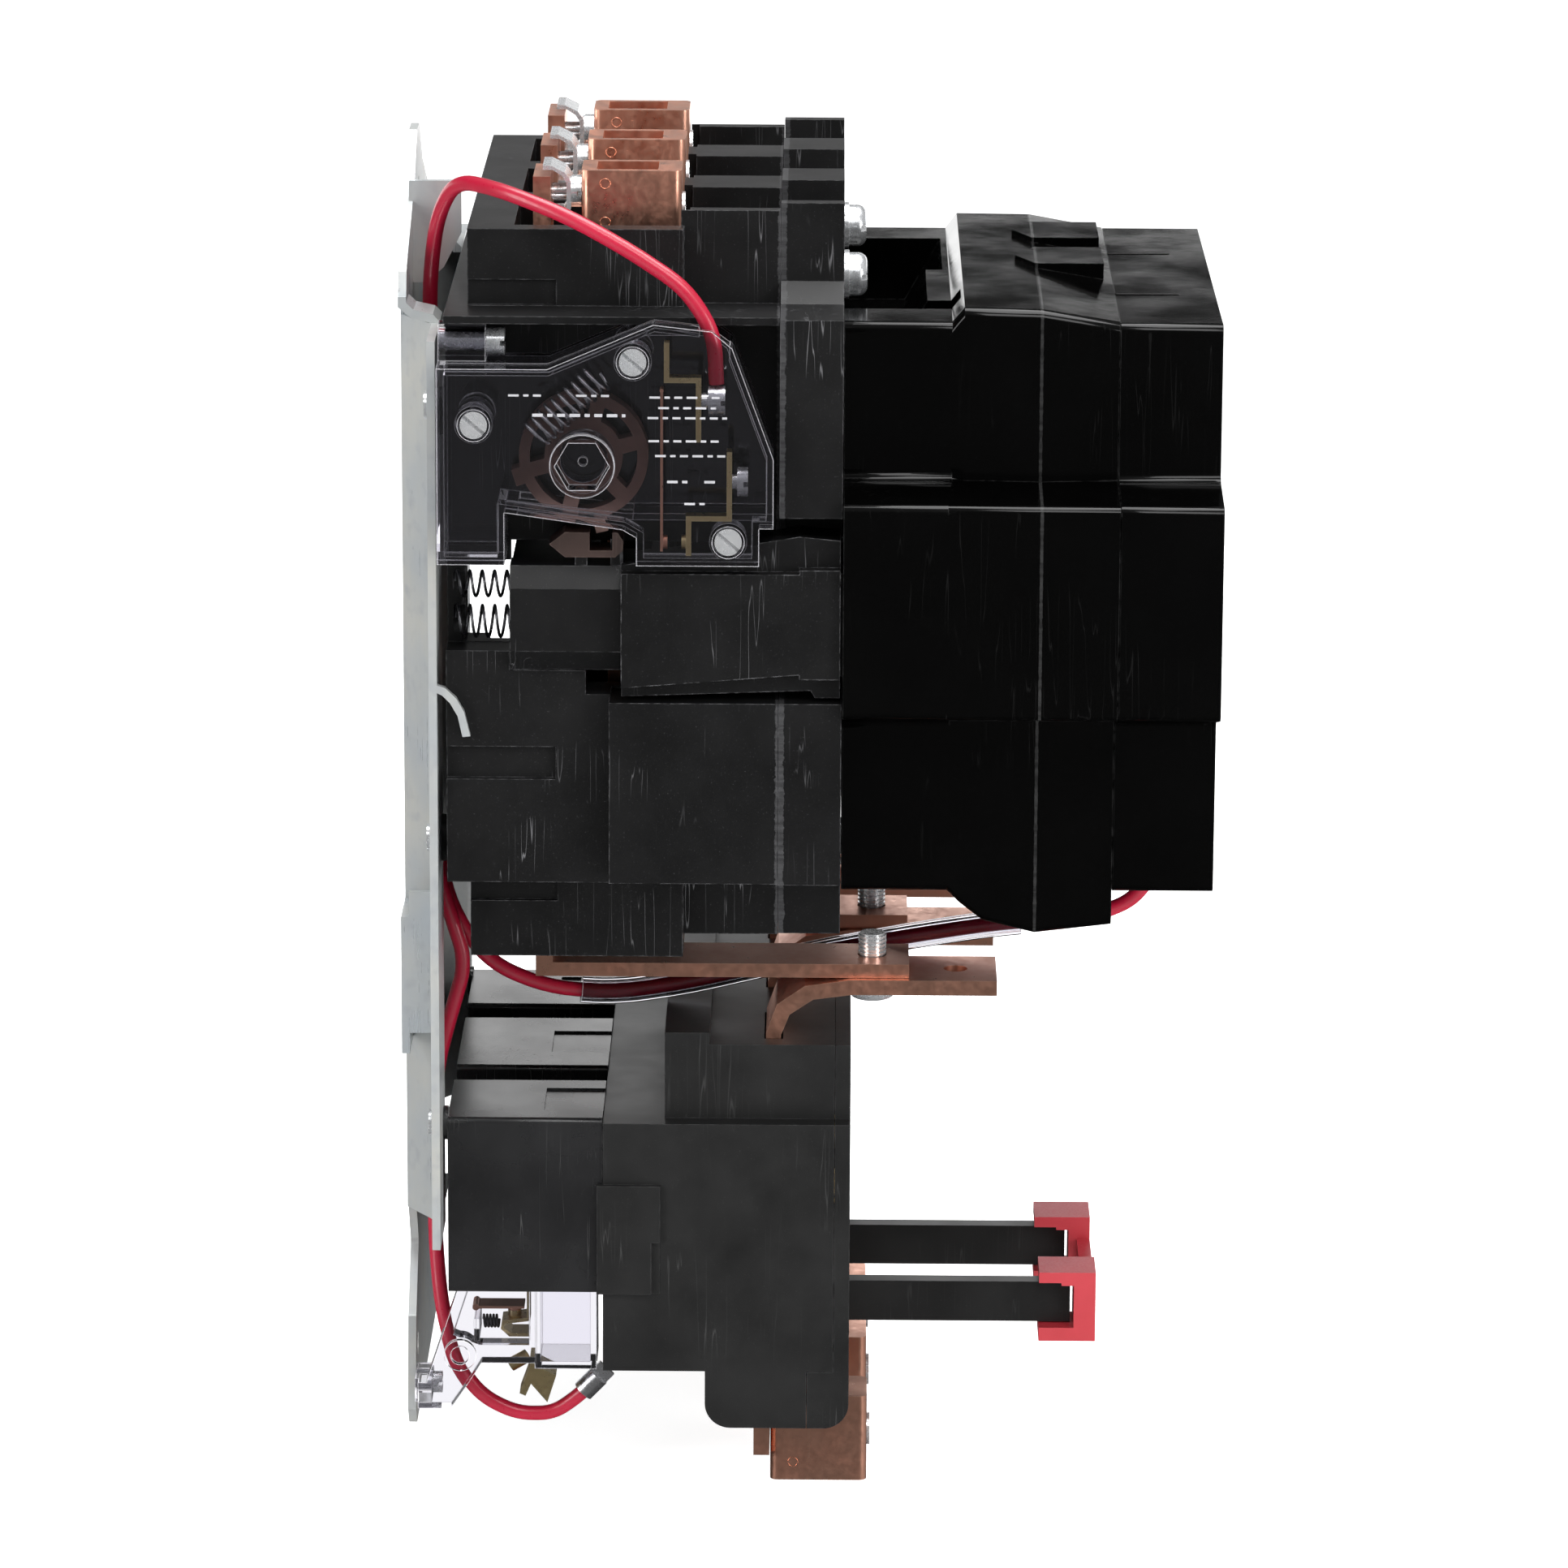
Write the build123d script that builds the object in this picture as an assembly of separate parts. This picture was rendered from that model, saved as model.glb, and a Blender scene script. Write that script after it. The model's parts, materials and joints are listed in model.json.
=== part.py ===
from build123d import *
import os
from math import pi, radians, tan

# A three-pole magnetic motor starter: an open contactor above a melting-alloy overload relay,
# both on one steel mounting plate. Millimetres. The origin is the centre of the top mounting
# hole in the wall plane: X runs across the poles, Y into the wall, so the front is -Y, and Z up.

# Driving dimensions
POLE_PITCH = 44.45
POLES = {"left": -POLE_PITCH, "centre": 0.0, "right": POLE_PITCH}
SHEET = 1.9

# Heights: the magnet's middle line, and the relay's ends
AXIS_Z = -86.5
RELAY_TOP = -209.6
RELAY_BOTTOM = -270.3

# Half widths of the mouldings
BLOCK_HALF = 66.7
SHOULDER_HALF = 82.0
LEDGE_HALF = 80.0
CORE_HALF = 67.0
NOSE_HALF = 62.0
BAND_HALF = 85.0

# Depths, from the wall to the front
BASE_BACK = -11.6
JOINT_Y = -87.6
COVER_FRONT = -102.1
HOUSING_BACK = -102.3
HOUSING_WALL_BACK = -105.3
HOUSING_FRONT = -165.0
# Sections of the housing's deeper front: depth, half width, top level, bottom level
BELLY = [
    (-126.4, 64.4, 66.4, -66.6), (-129.6, 65.4, 70.5, -69.6), (-135.1, 65.6, 70.4, -73.8),
    (-147.2, 66.2, 70.2, -76.6), (HOUSING_FRONT, 64.9, 67.2, -74.8),
]
CAP_BACK = -165.1
CAP_FRONT = -188.5
WALL = 3.0

# Fixed contact straps and lugs; a lug's place is its back, its foot and its top
STRAP_X = 9.2
STRAP_BACK = -31.0
STRAP_FRONT = -35.0
LUG_HALF = 7.6
LINE_LUG = (-42.0, -6.5, 13.0)
LOAD_LUG = (-86.4, -302.0, -281.0)

# Mounting holes, return springs as (level, radius), and relay pieces
LOWER_HOLE_X = 38.1
LOWER_HOLE_Z = -273.05
RETURN_SPRINGS = ((6.9, 2.9), (-1.9, 3.6))
PRONG_Y = (-44.0, -52.1)
RESET_X = POLE_PITCH / 2
RELAY_BLOCKS = {"left": (-65.4, -32.4), "centre": (-21.5, 21.5), "right": (32.4, 65.4)}
CASE_X = (-60.0, -53.5)
CASE_SCREW = (-45.5, -279.5)

# Auxiliary contact module: depths across it are X, and its outlines are (Y, Z)
AUX_BACK = -67.8
AUX_SPLIT = -80.2
AUX_FRONT = -87.5
AUX_BOSS = (-73.4, -22.6)
ROTOR_Y = -43.2
ROTOR_Z = -48.5
TERMINAL_X = (-84.6, -80.4)
AUX_SCREWS = [(-54.6, -24.8), (-18.7, -39.4), (-76.2, -66.0)]
AUX_OUTLINE = [
    (-10.3, -26.4), (-35.3, -26.4), (-59.2, -16.1), (-72.4, -17.6), (-77, -21.4), (-86.4, -46.8),
    (-86.4, -62.8), (-83.2, -62.8), (-83.2, -71.5), (-55.4, -71.5), (-55.4, -65), (-52.3, -63.2),
    (-25.6, -59.4), (-25.6, -71.5), (-10.3, -71.5),
]
AUX_CASE_OUTLINE = [
    (-10.3, -26.4), (-35.3, -26.4), (-54.6, -18.2), (-72.4, -18.2), (-77, -21.6), (-86.4, -46.8),
    (-86.4, -62.3), (-52.3, -62.3), (-25.6, -59.4), (-25.6, -71.5), (-10.3, -71.5),
]

# Control wires: radius of the insulation, and each route as the corners of its centre line
WIRE_RADIUS = 1.75
SLEEVE_RADIUS = 3.15
SLEEVE_SPAN = (16, 21)
SEAL_IN_WIRE = [
    (-82.5, -73.4, -30.3), (-82.5, -72.9, -19), (-81, -66.5, -9), (-77.4, -54.5, -1.5), (-74, -40, 6),
    (-67, -24, 11), (-54, -13.5, 11), (-43, -8.6, 1), (-36, -6.4, -14), (-33.4, -6.1, -40),
    (-33.6, -6.3, -78), (-33.2, -6.1, -116), (-34, -6.4, -148), (-35, -10.2, -166), (-35.5, -19, -179),
    (-35, -33, -185.2), (-33.4, -49, -186.8), (-30.6, -66, -184.9), (-28.4, -84, -181.2),
    (-28, -102, -177.2), (-27.6, -120, -173.9), (-27, -138, -171.2), (-26.4, -152, -170),
    (-26, -163, -169), (-26, -171.5, -165.4), (-26, -176.4, -158.6), (-26, -177.2, -150),
]
RELAY_WIRE = [
    (-49.5, -45.2, -277.4), (-49.5, -40.6, -282.2), (-49.2, -34.6, -286.6), (-48.8, -26, -286.8),
    (-48.2, -17.6, -282.8), (-47, -11.6, -275), (-44.6, -8, -262), (-41.4, -6.4, -246),
    (-39.6, -6.3, -222), (-39, -6.8, -204), (-38.8, -10.5, -190), (-38.8, -14, -178),
    (-39, -10.2, -166), (-39.4, -6.6, -152), (-39.6, -6.2, -134), (-39.2, -6.3, -110),
]


def level(height):
    """Height of a contactor feature that is measured from the magnet's middle line."""
    return AXIS_Z + height


def block(x, y, z):
    """A box from three (low, high) pairs."""
    size = [abs(pair[1] - pair[0]) for pair in (x, y, z)]
    middle = [sum(pair) / 2 for pair in (x, y, z)]
    return Pos(*middle) * Box(*size)


def outline(points, radius):
    """A closed face through the points, its corners rounded when a radius is given."""
    face = Polygon(*points, align=None)
    return fillet(face.vertices(), radius) if radius else face


def slab_x(points, x_low, x_high, radius=0):
    """A (Y, Z) outline made solid from x_low to x_high."""
    face = Plane.YZ.offset(x_low) * outline(points, radius)
    return extrude(face, amount=x_high - x_low, dir=(1, 0, 0))


def slab_y(points, y_back, y_front, radius=0):
    """An (X, Z) outline made solid from y_back forward to y_front."""
    face = Plane.XZ.offset(-y_back) * outline(points, radius)
    return extrude(face, amount=y_back - y_front, dir=(0, -1, 0))


def slab_z(points, z_low, z_high, radius=0):
    """An (X, Y) outline made solid from z_low to z_high."""
    face = Plane.XY.offset(z_low) * outline(points, radius)
    return extrude(face, amount=z_high - z_low, dir=(0, 0, 1))


def rod_x(y, z, radius, x_low, x_high):
    return Pos((x_low + x_high) / 2, y, z) * Rot(0, 90, 0) * Cylinder(radius, x_high - x_low)


def rod_y(x, z, radius, y_front, y_back):
    return Pos(x, (y_front + y_back) / 2, z) * Rot(90, 0, 0) * Cylinder(radius, y_back - y_front)


def rod_z(x, y, radius, z_low, z_high):
    return Pos(x, y, (z_low + z_high) / 2) * Cylinder(radius, z_high - z_low)


def both_sides(solid):
    """The solid and its mirror image across the middle plane."""
    return solid + mirror(solid, about=Plane.YZ)


def rectangle(x_half, z_low, z_high):
    return [(-x_half, z_low), (x_half, z_low), (x_half, z_high), (-x_half, z_high)]


def joined(pieces):
    """One compound of separate solids."""
    return Compound(children=[solid for piece in pieces for solid in piece.solids()])


def spring_y(x, z, radius, wire, turns, y_front, y_back):
    """A helical spring whose axis runs along Y."""
    length = y_back - y_front - 2 * wire
    path = Helix(pitch=length / turns, height=length, radius=radius)
    section = Plane(origin=path @ 0, z_dir=path % 0) * Circle(wire)
    coil = sweep(section, path=path, is_frenet=True)
    return Pos(x, y_back - wire, z) * Rot(90, 0, 0) * coil


def slotted_head_y(x, z, radius, y_front, y_back):
    """A cheese head facing the front, with a screwdriver slot."""
    head = rod_y(x, z, radius, y_front, y_back)
    slot = block((x - radius, x + radius), (y_front, y_front + 1.0), (z - 0.6, z + 0.6))
    return head - slot


# Mounting plate

def mounting_plate():
    """A pan against the wall, with side flanges pressed forward and ears for three screws."""
    profile = [
        (-44, 0), (44, 0), (56, -7.7), (78, -7.7), (78, -9.6),
        (55, -9.6), (43, -SHEET), (-43, -SHEET), (-55, -9.6), (-78, -9.6), (-78, -7.7), (-56, -7.7),
    ]
    pan = slab_z(profile, -237, -22)
    top_ear = slab_y(
        [(-55, -18), (55, -18), (52, -10), (18, 4), (5, 14.7), (-5, 14.7), (-18, 4), (-52, -10)],
        0, -SHEET, 1.5,
    )
    neck = block((-44, 44), (-SHEET, 0), (-23, -16))
    foot_ear = slab_y(
        [(-42, -236), (-32, -249), (-45, -264), (-49, -286), (-44, -291),
         (44, -291), (49, -286), (45, -264), (32, -249), (42, -236)],
        0, -SHEET, 1.5,
    )
    jog = slab_x(
        [(0, -16), (-SHEET, -16), (-SHEET, -17.4), (-3.6, -19), (-8, -20), (-9.6, -21.6), (-9.6, -23),
         (-7.7, -23), (-7.2, -21.9), (-3, -20.9), (0, -18.4)],
        -55, -43.5,
    )
    gusset = slab_x([(-1, -18), (-1, 5.9), (-13.1, 5.9), (-13.1, -6.4), (-9, -14.4), (-5, -18)], -25, -23.1)
    side_foot = block((-62, -43.5), (-SHEET, 0), (-194, -161))
    side_web = block((-62, -60.1), (-8, -SHEET), (-189, -155))
    relay_hook = block((-34, -20), (-8.6, -SHEET), (-238, -236.1))
    plate = pan + top_ear + neck + foot_ear + gusset + both_sides(jog + side_foot + side_web + relay_hook)
    plate -= rod_y(0, 0, 2.8, -5, 1)
    for x in (-LOWER_HOLE_X, LOWER_HOLE_X):
        plate -= rod_y(x, LOWER_HOLE_Z, 2.8, -5, 1)
    for x, z in base_screw_places() + relay_screw_places():
        plate -= rod_y(x, z, 2.1, -12, -5)
    return plate - rod_y(*CASE_SCREW, 1.6, -5, 1)


def base_screw_places():
    return [(x, z) for x in (-61, 61) for z in (-40, -142)]


def relay_screw_places():
    return [(x, -211) for x in (-61, 61)]


def rear_screws(places, tip_y):
    """Screws driven from behind the plate's flanges into the mouldings in front."""
    screws = []
    for x, z in places:
        head = rod_y(x, z, 3.2, -7.7, -6.2)
        shank = rod_y(x, z, 2.0, tip_y, -7.7)
        screws.append(head + shank)
    return joined(screws)


def latch_clip():
    """A curved spring-steel finger that holds the side of the base down on the plate."""
    bend = [(-9.6, -101.8), (-11.4, -102.4), (-14, -104.8), (-15.8, -108), (-17.2, -113.7), (-15.4, -113.9),
            (-14.3, -109), (-12.6, -106), (-10.8, -104.2), (-9.6, -103.6)]
    return slab_x(bend, -78, -76.2)


# Contactor mouldings

def pole_chambers():
    """The spaces for the moving contacts, open to the front."""
    room = None
    for x in POLES.values():
        cell = block((x - 19, x + 19), (-90, -21), (level(-50), level(52)))
        room = cell if room is None else room + cell
    return room


def strap_ways():
    """Slots through the roof and floor for the fixed contact straps, and the lug pockets."""
    cuts = []
    for x in POLES.values():
        half = STRAP_X + 0.4
        cuts.append(block((x - half, x + half), (-35.5, -30.5), (level(-100), level(110))))
        cuts.append(block((x - 17, x + 17), (-67, -27), (level(74), level(110))))
        cuts.append(block((x - 14, x + 14), (-110, -60), (level(76), level(110))))
    return cuts


def crossbar_way():
    """The slot through both side walls in which the contact carrier slides."""
    front = block((-90, 90), (-66, -43.6), (level(-17.6), level(16.5)))
    middle = block((-90, 90), (-44, -26.2), (level(-12), level(16.5)))
    rear = block((-90, 90), (-27, -15.8), (level(-7.4), level(11.8)))
    return front + middle + rear


def light_way():
    """The open back behind the contacts, which light passes through from side to side."""
    back = block((-58, 58), (-28, BASE_BACK + 1), (level(-45), level(16.5)))
    return back + block((56, 77), (-26.2, BASE_BACK + 1), (level(-44), level(-7)))


def contactor_base():
    core = block((-CORE_HALF, CORE_HALF), (JOINT_Y, BASE_BACK), (level(-62.2), level(70.8)))
    ledge = block((-LEDGE_HALF, LEDGE_HALF), (JOINT_Y, BASE_BACK), (level(69), level(70.8)))
    roof = block((-BLOCK_HALF, BLOCK_HALF), (-65.6, -16.5), (level(70), level(88.5)))
    brow = block((-NOSE_HALF, NOSE_HALF), (JOINT_Y, -65), (level(70), level(92.2)))
    rear_hip = block((-76, 76), (-49.2, BASE_BACK), (level(-62.2), level(-12)))
    rear_hip += block((-76, 76), (-26.2, BASE_BACK), (level(-62.2), level(-7.5)))
    front_hip = block((-SHOULDER_HALF, SHOULDER_HALF), (JOINT_Y, -49), (level(-60.8), level(-18.2)))
    floor = block((-BLOCK_HALF, BLOCK_HALF), (-65.7, -16.5), (level(-82.3), level(-61)))
    chin = block((-NOSE_HALF, NOSE_HALF), (JOINT_Y, -65), (level(-78), level(-60)))
    base = core + ledge + roof + brow + rear_hip + front_hip + floor + chin
    for x, z in base_screw_places():
        base += rod_y(x, z, 5.5, BASE_BACK, -9.6)
    side_notch = block((-BLOCK_HALF - 1, -BLOCK_HALF + 1), (-36.7, -16), (level(70.9), level(76.8)))
    low_notch = block((-BLOCK_HALF - 1, -BLOCK_HALF + 1), (-36.7, -16), (level(-69), level(-62.3)))
    hip_slot = block((-77, -74.5), (-36.7, -11), (level(-37.7), level(-30.1)))
    base -= both_sides(side_notch) + both_sides(low_notch) + both_sides(hip_slot)
    base -= pole_chambers()
    base -= crossbar_way()
    base -= light_way()
    for cut in strap_ways():
        base -= cut
    base -= block((-58, 58), (-90, -70), (level(-74), level(-66)))
    for height, radius in RETURN_SPRINGS:
        base -= both_sides(rod_y(70, level(height), radius + 0.8, -17, -13))
    for x, z in base_screw_places():
        base -= rod_y(x, z, 2.0, -20, -5)
    for x, z in cover_screw_places():
        base -= rod_y(x, z, 2.1, -90, -70)
    return base


def cover_screw_places():
    return [(x, level(z)) for x in (-33, 33) for z in (72.5, -63)]


def contact_block_cover():
    """The front half of the contact block, with barriers that carry on between the lugs."""
    shape = [
        (-NOSE_HALF, 94), (-NOSE_HALF, 76), (-BLOCK_HALF, 71.5), (-SHOULDER_HALF, 70.6), (-SHOULDER_HALF, 25),
        (-CORE_HALF, 25), (-CORE_HALF, -18.2), (-SHOULDER_HALF, -18.2), (-SHOULDER_HALF, -61),
        (-NOSE_HALF, -61), (-NOSE_HALF, -77.8),
    ]
    left = [(x, level(z)) for x, z in shape]
    right = [(-x, z) for x, z in reversed(left)]
    cover = slab_y(left + right, JOINT_Y - 0.1, COVER_FRONT)
    for cut in strap_ways():
        cover -= cut
    arc_room = [block((x - 17, x + 17), (-98, -80), (level(-48), level(50))) for x in POLES.values()]
    for room in arc_room:
        cover -= room
    for x, z in cover_screw_places():
        cover -= rod_y(x, z, 2.1, -110, -80)
    return cover


def cover_screws():
    """Round-headed screws with square-edged washers that hold the cover to the base."""
    screws = []
    for x, z in cover_screw_places():
        washer = rod_y(x, z, 5.6, COVER_FRONT - 1.2, COVER_FRONT)
        head = rod_y(x, z, 5.0, COVER_FRONT - 5.4, COVER_FRONT - 1.2)
        head = fillet(head.edges().filter_by(GeomType.CIRCLE).sort_by(Axis.Y)[0], 2.2)
        slot = block((x - 6, x + 6), (COVER_FRONT - 6, COVER_FRONT - 4.1), (z - 0.7, z + 0.7))
        shank = rod_y(x, z, 2.0, COVER_FRONT, -74)
        screws.append(washer + head + shank - slot)
    return joined(screws)


def front_profile(half, top, bottom):
    """Outline of the front mouldings: a body with a wider band where the arms run."""
    left = [(-half, top), (-half, 30.8), (-BAND_HALF, 28.4), (-BAND_HALF, -21), (-half, -26), (-half, bottom)]
    left = [(x, level(z)) for x, z in left]
    return left + [(-x, z) for x, z in reversed(left)]


def front_cavity(y_back, y_front, top):
    main = block((-61, 61), (y_front, y_back), (level(-62), level(top)))
    band = block((-BAND_HALF + WALL, BAND_HALF - WALL), (y_front, y_back), (level(-18), level(25)))
    return main + band


def housing_belly():
    """The deeper front of the housing: wider to its seam, with a bulge below for the terminals."""
    outlines = []
    for y, half, top, bottom in BELLY:
        face = Plane.XZ.offset(-y) * outline(rectangle(half, level(bottom), level(top)), 2.4)
        outlines.append(face)
    return loft(outlines, ruled=True)


def magnet_housing():
    """The glossy front moulding: a plain collar, the deeper belly and the band for the arms."""
    collar = slab_y(front_profile(64.5, 67, -67), HOUSING_BACK, -127, 2.4)
    band = slab_y(front_profile(64, 60, -60), -126, HOUSING_FRONT, 1.8)
    housing = collar + housing_belly() + band
    for x in (0, 35):
        ridge = [(x - 11, -147), (x, -142.4), (x + 11, -147), (x + 11, -163), (x - 11, -163)]
        housing += slab_z(ridge, level(66), level(71.4))
    for x_low, x_high, y_step in ((-47, -36, -120), (-36, 4, -113), (4, 47, -117)):
        step = [(-101, level(52)), (y_step, level(52)), (y_step - 9, level(68)), (y_step - 9, level(75)),
                (-101, level(75))]
        housing -= slab_x(step, x_low, x_high)
    housing -= front_cavity(HOUSING_WALL_BACK, -126, 49)
    housing -= front_cavity(-125.9, -170, 62)
    for x in (-75, 75):
        housing -= block((x - 6.4, x + 6.4), (-110, -100), (level(-15.5), level(15.5)))
    for x, z in cover_screw_places()[1::2]:
        housing -= rod_y(x, z, 6.2, -112, -100)
    return housing


def front_cap():
    cap = slab_y(front_profile(65, 67, -66.7), CAP_BACK, CAP_FRONT, 2.2)
    cap -= front_cavity(-165, CAP_FRONT + WALL, 63)
    for x in (-27, 27):
        cap -= block((x - 1, x + 1), (-180, -164), (level(60), level(70)))
    return cap - rod_z(-26, -177, 2.5, level(-70), level(-60))


# Magnet

def magnet_core():
    """The laminated E of the magnet, its three legs facing forward."""
    yoke = block((-48, 48), (-118, -105.4), (level(-18), level(18)))
    for x in (-42, 0, 42):
        yoke += block((x - (6 if x else 11), x + (6 if x else 11)), (-143, -118), (level(-18), level(18)))
    return yoke


def coil_ring(x_half, z_half, y_back, y_front):
    outer = slab_y(rectangle(x_half, level(-z_half), level(z_half)), y_back, y_front, 4)
    return outer - block((-11.4, 11.4), (-200, -100), (level(-18.4), level(18.4)))


def coil_bobbin():
    sleeve = slab_y(rectangle(13.4, level(-20.4), level(20.4)), -118.4, -142.4, 1.5)
    sleeve -= block((-11.4, 11.4), (-200, -100), (level(-18.4), level(18.4)))
    return sleeve + coil_ring(34, 41, -118.4, -120.4) + coil_ring(34, 41, -140.4, -142.4)


def coil_winding():
    outer = slab_y(rectangle(32, level(-39), level(39)), -120.5, -140.3, 5)
    return outer - block((-13.5, 13.5), (-200, -100), (level(-20.5), level(20.5)))


def shading_rings():
    """Copper rings set in the outer pole faces, which keep the magnet from chattering."""
    rings = []
    for x in (-42, 42):
        ring = block((x - 6.9, x + 6.9), (-142.2, -139.8), (level(-19.2), level(19.2)))
        rings.append(ring - block((x - 6, x + 6), (-150, -130), (level(-18), level(18))))
    return joined(rings)


def coil_terminals():
    """Two brass terminal plates with their screws, below the coil."""
    plates = []
    for x in (-26, 26):
        plate = block((x - 5, x + 5), (-150, -143), (level(-60), level(-58.4)))
        plate += block((x - 3, x + 3), (-144.4, -142.9), (level(-58.4), level(-38)))
        plates.append(plate + rod_z(x, -147, 2.8, level(-58.4), level(-55.6)))
    return joined(plates)


# Contact carrier: everything that the magnet moves

def carrier_crossbar():
    """The bar across the poles, with a window at each pole for its contact bridge."""
    bar = block((-76.3, 76.3), (-62, -26.4), (level(-6.9), level(11.3)))
    for x in POLES.values():
        bar -= block((x - 7.2, x + 7.2), (-58, -46), (level(-20), level(20)))
    end = [(-80, -6.7), (-80, 7.9), (-77.4, 12.8), (-69, 12.8), (-69, 11), (-76.2, 11), (-76.2, -6.7),
           (-76.2, -11.5), (-77.4, -11.5)]
    bar += both_sides(slab_y([(x, level(z)) for x, z in end], -26.4, -62))
    for height, radius in RETURN_SPRINGS:
        bar -= both_sides(rod_y(70, level(height), radius + 0.8, -42, -26))
    return bar


def carrier_arm():
    """The left side arm: a wedge beside the base and a tongue into the front moulding."""
    wedge = [(-51.8, -17.2), (-95, -15.6), (-96, -17.3), (-101.7, -17.3), (-101.7, 19.4), (-92.3, 20.3),
             (-51.8, 13.4)]
    plate = slab_x([(y, level(z)) for y, z in wedge], -79.6, -68)
    plate -= block((-76.4, -60), (-61, -50), (level(-20), level(25)))
    pad = slab_x([(y, level(z)) for y, z in ((-51.8, -14.6), (-92.4, -11.3), (-92.4, 12.1), (-51.8, 12.1))],
                 -82.6, -79)
    toe = block((-82.6, -79), (-101.7, -92.4), (level(-12.4), level(13.1)))
    tongue = block((-80.3, -69.7), (-176, -101), (level(-12), level(12)))
    return plate + pad + toe + tongue


def contact_carrier():
    carrier = carrier_crossbar() + both_sides(carrier_arm())
    carrier += block((-80.3, 80.3), (-181, -175), (level(-12), level(12)))
    for y in PRONG_Y:
        carrier += block((-77, -72), (y, y + 2.8), (level(11), level(18.9)))
    return carrier


def drive_shoe():
    """The brown shoe on the left arm whose slot turns the auxiliary rotor."""
    cheek = [(-52.2, -67.6), (-51, -65.6), (-49.8, -65.6), (-49.8, -69.8), (-44.6, -69.8), (-44.6, -65.6),
             (-39, -65.6), (-35.4, -68.4), (-39, -71.4), (-50.4, -71.4), (-52.2, -69.8)]
    shoe = slab_x(cheek, -79, -70.2)
    for y in PRONG_Y:
        shoe -= block((-77.1, -71.9), (y - 0.1, y + 2.9), (-75, -67.5))
    return shoe


def armature():
    """The moving E of the magnet, its legs facing the fixed one across the air gap."""
    shape = block((-48, 48), (-174.8, -163), (level(-18), level(18)))
    for x in (-42, 0, 42):
        shape += block((x - (6 if x else 11), x + (6 if x else 11)), (-163, -151.2), (level(-18), level(18)))
    return shape


def moving_contact(x):
    """A copper bridge with a silver button at each end."""
    bridge = block((x - 6.4, x + 6.4), (-50.8, -47.8), (level(-36), level(36)))
    for z in (-30.5, 30.5):
        bridge += rod_y(x, level(z), 5, -47.9, -46.1)
    return bridge


def contact_springs():
    return joined([spring_y(x, AXIS_Z, 4.0, 0.55, 4, -57.9, -50.9) for x in POLES.values()])


def return_springs():
    """Two springs a side between the base and the crossbar, which push the contacts open."""
    places = [(x, level(height), radius) for x in (-70, 70) for height, radius in RETURN_SPRINGS]
    return joined([spring_y(x, z, radius, 0.35, 7, -33.6, -13.1) for x, z, radius in places])


# Fixed contacts and line terminals

def line_strap(x):
    """The upper fixed contact: a copper bar down into the chamber, with a silver button."""
    bar = block((x - STRAP_X, x + STRAP_X), (STRAP_FRONT, STRAP_BACK), (level(24), 11.8))
    return bar + rod_y(x, level(30.5), 5, STRAP_FRONT - 2.9, STRAP_FRONT)


def load_strap(x):
    """The lower fixed contact: down out of the chamber, then forward under the block."""
    low = -177.3
    bar = block((x - STRAP_X, x + STRAP_X), (STRAP_FRONT, STRAP_BACK), (low, level(-24)))
    bar += block((x - STRAP_X, x + STRAP_X), (-118.4, STRAP_BACK), (low, low + 3.3))
    bar += rod_y(x, level(-30.5), 5, STRAP_FRONT - 2.9, STRAP_FRONT)
    return bar - rod_z(x, -109.8, 3.4, low - 5, low + 8)


def box_lug(x, y_back, z_low, z_high):
    """A box lug of folded copper, open along Z for the wire, clamped by a screw from the front."""
    y_front = y_back - 22.9
    shell = block((x - LUG_HALF, x + LUG_HALF), (y_front, y_back), (z_low, z_high))
    shell = fillet(shell.edges().filter_by(Axis.Z), 1.8)
    hole = block((x - 5.6, x + 5.6), (y_front + 5.4, y_back - 3.4), (z_low - 1, z_high + 1))
    middle = (z_low + z_high) / 2
    return shell - hole - rod_y(x, middle, 3.9, y_front - 1, y_front + 7)


def lug_screw(x, y_back, z):
    """The clamping screw of a box lug, with a hexagon socket."""
    y_front = y_back - 23.6
    screw = rod_y(x, z, 3.8, y_front, y_front + 8)
    socket = Plane.XZ.offset(-y_front) * Pos(x, z) * RegularPolygon(2.3, 6)
    return screw - extrude(socket, amount=-4, dir=(0, -1, 0))


def line_lug(x):
    """The line lug, with the foot that hooks behind the strap."""
    lug = box_lug(x, *LINE_LUG)
    return lug + block((x - 6.5, x + 6.5), (LINE_LUG[0], STRAP_FRONT), (-6.5, -2.5))


def terminal_clamp(x):
    """An arched steel saddle on the end of the line strap, which clamps a control wire."""
    path = [(STRAP_FRONT, 2.4), (-38.2, 2.4), (-39.6, 4.2), (-39.6, 10.6), (-38.2, 12.6),
            (STRAP_FRONT, 14.2), (-33.2, 14.2), (-33.2, 13.2), (-35.4, 13.2), (-37.6, 11.8),
            (-38.6, 10.2), (-38.6, 4.6), (-37.7, 3.4), (STRAP_FRONT, 3.4)]
    return slab_x(path, x - 8.4, x + 4) - rod_y(x - 2.4, 7.4, 2.05, -50, -36)


def clamp_screws():
    screws = []
    for x in POLES.values():
        head = slotted_head_y(x - 2.4, 7.4, 3.7, -41.9, -39.65)
        screws.append(head + rod_y(x - 2.4, 7.4, 1.9, -39.7, STRAP_FRONT - 0.05))
    return joined(screws)


# Straps between the contactor and the relay

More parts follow.
